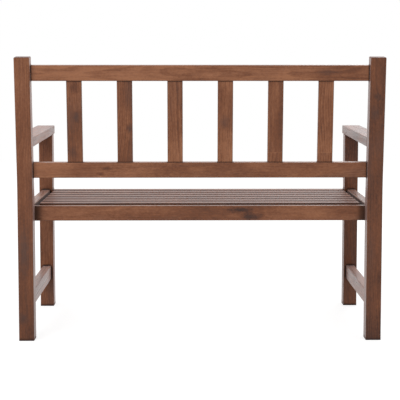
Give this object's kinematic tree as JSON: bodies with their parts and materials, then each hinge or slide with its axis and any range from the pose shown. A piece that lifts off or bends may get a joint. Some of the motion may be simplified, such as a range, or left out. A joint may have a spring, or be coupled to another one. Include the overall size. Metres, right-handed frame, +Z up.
{
  "type": "bench",
  "caption": "Slatted wooden garden bench with open arms, a raked back of upright slats and a flat seat of long slats, on square legs.",
  "frame": {"origin": "on the floor, under the middle of the bounding box", "axes": "+X to the right as the bench is seen from the front, along its length; the sitter faces -Y; +Z up"},
  "size_m": [1.18, 0.6066, 0.8998],
  "materials": {
    "stained_wood": "red-brown stain under a satin oil or varnish",
    "plated_steel": "zinc plated, slightly dull",
    "bare_beech": "unfinished, as turned"
  },
  "bodies": {
    "root": {"rear_leg_left": "stained_wood", "rear_leg_right": "stained_wood", "front_leg_left": "stained_wood", "front_leg_right": "stained_wood", "side_seat_rail_left": "stained_wood", "side_seat_rail_right": "stained_wood", "lower_stretcher_left": "stained_wood", "lower_stretcher_right": "stained_wood", "armrest_left": "stained_wood", "armrest_right": "stained_wood", "rear_seat_rail": "stained_wood", "front_seat_rail": "stained_wood", "seat_batten_left": "stained_wood", "seat_batten_middle": "stained_wood", "seat_batten_right": "stained_wood", "seat_slat_1": "stained_wood", "seat_slat_2": "stained_wood", "seat_slat_3": "stained_wood", "seat_slat_4": "stained_wood", "seat_slat_5": "stained_wood", "seat_slat_6": "stained_wood", "seat_slat_7": "stained_wood", "back_bottom_rail": "stained_wood", "back_top_rail": "stained_wood", "back_slat_1": "stained_wood", "back_slat_2": "stained_wood", "back_slat_3": "stained_wood", "back_slat_4": "stained_wood", "back_slat_5": "stained_wood", "back_slat_6": "stained_wood", "seat_frame_bolts": "plated_steel", "seat_frame_barrel_nuts": "plated_steel", "back_rail_bolts": "plated_steel", "back_rail_barrel_nuts": "plated_steel", "seat_slat_screws": "plated_steel", "seat_frame_dowels": "bare_beech", "back_rail_dowels": "bare_beech"}
  },
  "joints": []
}
